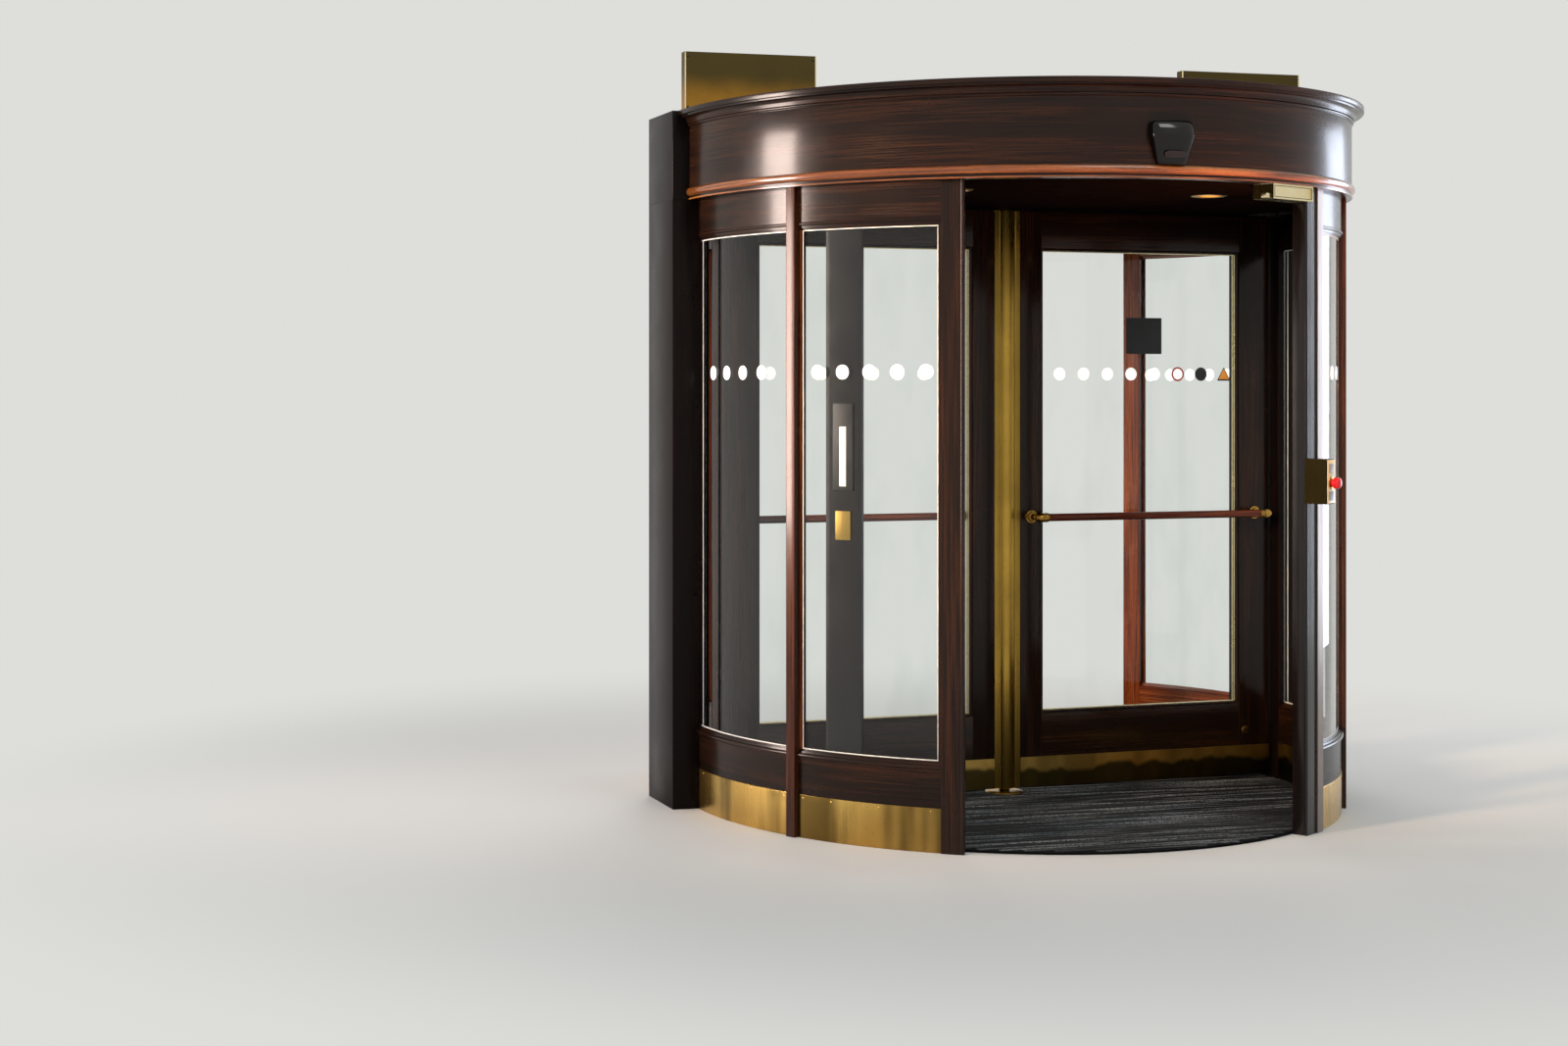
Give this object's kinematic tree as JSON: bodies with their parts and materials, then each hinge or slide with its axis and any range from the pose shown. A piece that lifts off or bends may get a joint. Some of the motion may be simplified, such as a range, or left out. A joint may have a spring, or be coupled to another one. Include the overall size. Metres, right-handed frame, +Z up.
{
  "type": "two-leaf revolving door in a curved timber and glass drum",
  "caption": "Revolving door: two glazed leaves on a round post turn inside a curved timber and glass drum with a moulded canopy, brass kick plates and push bars.",
  "frame": {"origin": "on the axis of the rotor at floor level", "axes": "+X to the right along the building wall seen from the room, +Y into the street, +Z up the axis of the rotor"},
  "size_m": [2.676, 2.648, 2.815],
  "materials": {
    "timber": "polished dark mahogany",
    "brass": "polished, slightly worn",
    "bronze": "anodised light bronze",
    "glass": "clear",
    "mat": "ribbed entrance matting",
    "black_plastic": "moulded",
    "red_plastic": "moulded",
    "lamp": "white",
    "seal": "brush pile",
    "deck": "painted board"
  },
  "bodies": {
    "drum": {"floor_mat": "mat", "floor_bearing": "brass", "portal_post_left": "timber", "portal_post_right": "timber", "base_room_left": "timber", "base_room_right": "timber", "bases_street": "timber", "head_rail_room_left": "timber", "head_rail_room_right": "timber", "head_rails_street": "timber", "wall_glass_room_left": "glass", "wall_glass_room_right": "glass", "wall_glass_street": "glass", "jamb_room_left": "timber", "jamb_room_right": "timber", "jambs_street": "timber", "kick_plates_room": "brass", "kick_plates_street": "brass", "ribs": "timber", "lock_posts": "timber", "fascia": "timber", "cornice": "timber", "bead": "timber", "ceiling": "timber", "ceiling_bearing": "brass", "roof_deck": "deck", "downlights": "lamp", "closing_panels": "brass", "motion_sensors": "black_plastic", "head_box": "brass", "cable_cover": "bronze", "control_box": "brass", "stop_button": "red_plastic"},
    "rotor": {"centre_post": "brass", "leaf_right_stiles": "timber", "leaf_right_rails": "timber", "leaf_left_stiles": "timber", "leaf_left_rails": "timber", "leaf_right_glass": "glass", "leaf_left_glass": "glass", "leaf_glazing_beads": "brass", "leaf_kick_plates": "brass", "leaf_right_push_bar": "brass", "leaf_left_push_bar": "brass", "leaf_seals": "seal"}
  },
  "joints": [
    {"name": "rotor_turn", "type": "hinge", "parent": "drum", "child": "rotor", "pos_m": [0, 0, 1.1], "axis": [0, 0, 1], "continuous": true}
  ]
}
